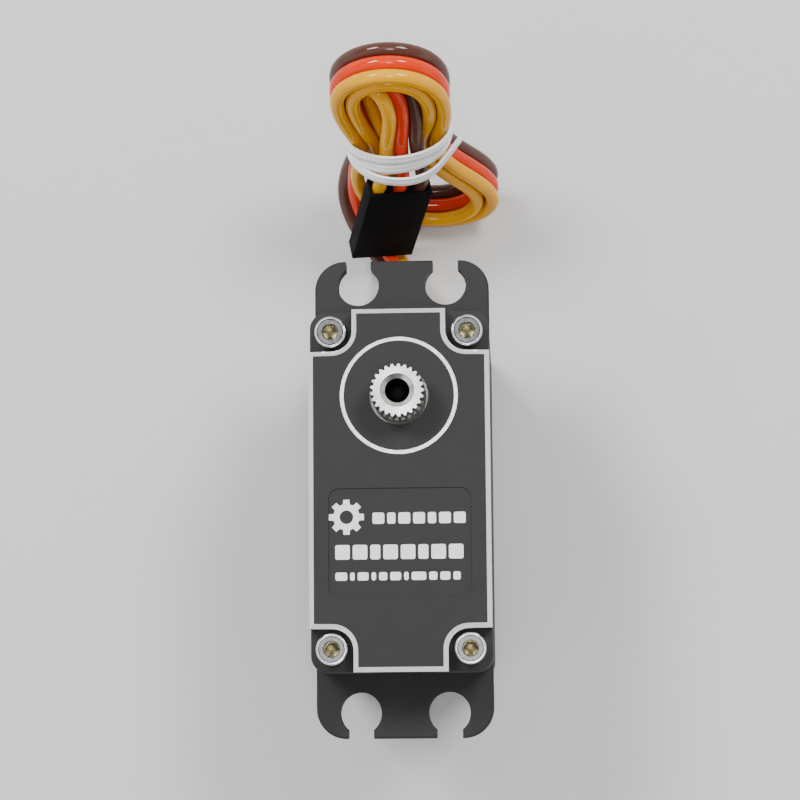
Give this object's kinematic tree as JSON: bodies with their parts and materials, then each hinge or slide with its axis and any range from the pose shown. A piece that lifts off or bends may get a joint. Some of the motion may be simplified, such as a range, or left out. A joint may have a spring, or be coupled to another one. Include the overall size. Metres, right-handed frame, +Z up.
{
  "type": "servo motor",
  "caption": "Standard-size digital servo motor with a metal case, slotted mounting ears, a splined output shaft, an internal gear train and a three-wire lead wound in a hank.",
  "frame": {"origin": "centre of the case's underside", "axes": "+X across the case, +Y along the case towards the output shaft and the lead, +Z up, along the output shaft"},
  "size_m": [0.0218, 0.0785, 0.0423],
  "materials": {
    "case_metal": "black anodised, fine bead-blasted, satin",
    "bright_steel": "plain machined steel, satin",
    "gear_steel": "machined steel, lightly oiled",
    "brass": "machined brass, satin",
    "motor_can": "nickel-plated drawn steel",
    "dark_plastic": "black moulded plastic, fine texture",
    "magnet": "sintered magnet, matte grey",
    "copper": "enamelled copper windings on steel",
    "board_green": "green solder mask",
    "rubber": "black moulded rubber, matte",
    "wire_brown": "brown wire insulation, semi-gloss",
    "wire_red": "red wire insulation, semi-gloss",
    "wire_orange": "orange wire insulation, semi-gloss",
    "tie_white": "white plastic over a wire core, satin"
  },
  "bodies": {
    "case": {"top_cover": "case_metal", "middle_case": "case_metal", "bottom_cover": "case_metal", "case_screw_front_left": "bright_steel", "case_screw_front_right": "bright_steel", "case_screw_rear_left": "bright_steel", "case_screw_rear_right": "bright_steel", "idler_pin": "bright_steel", "upper_bearing_outer_race": "bright_steel", "lower_bearing_outer_race": "bright_steel", "motor_can": "motor_can", "motor_end_cap": "dark_plastic", "motor_magnet_left": "magnet", "motor_magnet_right": "magnet", "motor_brush_left": "magnet", "motor_brush_right": "magnet", "motor_screw_left": "bright_steel", "motor_screw_right": "bright_steel", "potentiometer_body": "dark_plastic", "control_board": "board_green", "microcontroller": "dark_plastic", "motor_driver": "dark_plastic", "voltage_regulator": "dark_plastic", "capacitor": "motor_can", "cable_grommet": "rubber", "run_brown": "wire_brown", "run_red": "wire_red", "run_orange": "wire_orange", "cable_hank": "wire_orange", "tail_brown": "wire_brown", "tail_red": "wire_red", "tail_orange": "wire_orange", "plug_housing": "dark_plastic", "contact_brown": "brass", "contact_red": "brass", "contact_orange": "brass", "twist_tie": "tie_white"},
    "output": {"output_gear": "gear_steel", "upper_bearing_inner_race": "bright_steel", "lower_bearing_inner_race": "bright_steel", "potentiometer_shaft": "brass"},
    "idler_low": {"gear_1": "gear_steel"},
    "idler_output": {"gear_2": "gear_steel"},
    "idler_high": {"gear_3": "gear_steel"},
    "rotor": {"motor_armature": "copper", "motor_commutator": "brass", "motor_shaft": "bright_steel", "motor_pinion": "brass"}
  },
  "joints": [
    {"name": "output_spin", "type": "hinge", "parent": "case", "child": "output", "pos_m": [0, 0.0103, 0.038], "axis": [0, 0, 1], "range_deg": [-90, 90]},
    {"name": "gear_3_spin", "type": "hinge", "parent": "case", "child": "idler_high", "pos_m": [0, 0.0003, 0.0325], "axis": [0, 0, 1], "range_deg": [-271, 271]},
    {"name": "gear_2_spin", "type": "hinge", "parent": "case", "child": "idler_output", "pos_m": [0, 0.0103, 0.03], "axis": [0, 0, 1], "range_deg": [-856, 856]},
    {"name": "gear_1_spin", "type": "hinge", "parent": "case", "child": "idler_low", "pos_m": [0, 0.0003, 0.0285], "axis": [0, 0, 1], "range_deg": [-3033, 3033]},
    {"name": "motor_spin", "type": "hinge", "parent": "case", "child": "rotor", "pos_m": [0, -0.0084, 0.016], "axis": [0, 0, 1], "range_deg": [-14552, 14552]}
  ],
  "couplings": [
    {"joint": "gear_3_spin", "follows": "output_spin", "ratio": -3},
    {"joint": "gear_2_spin", "follows": "output_spin", "ratio": 9.5},
    {"joint": "gear_1_spin", "follows": "output_spin", "ratio": -33.682},
    {"joint": "motor_spin", "follows": "output_spin", "ratio": 161.67}
  ]
}
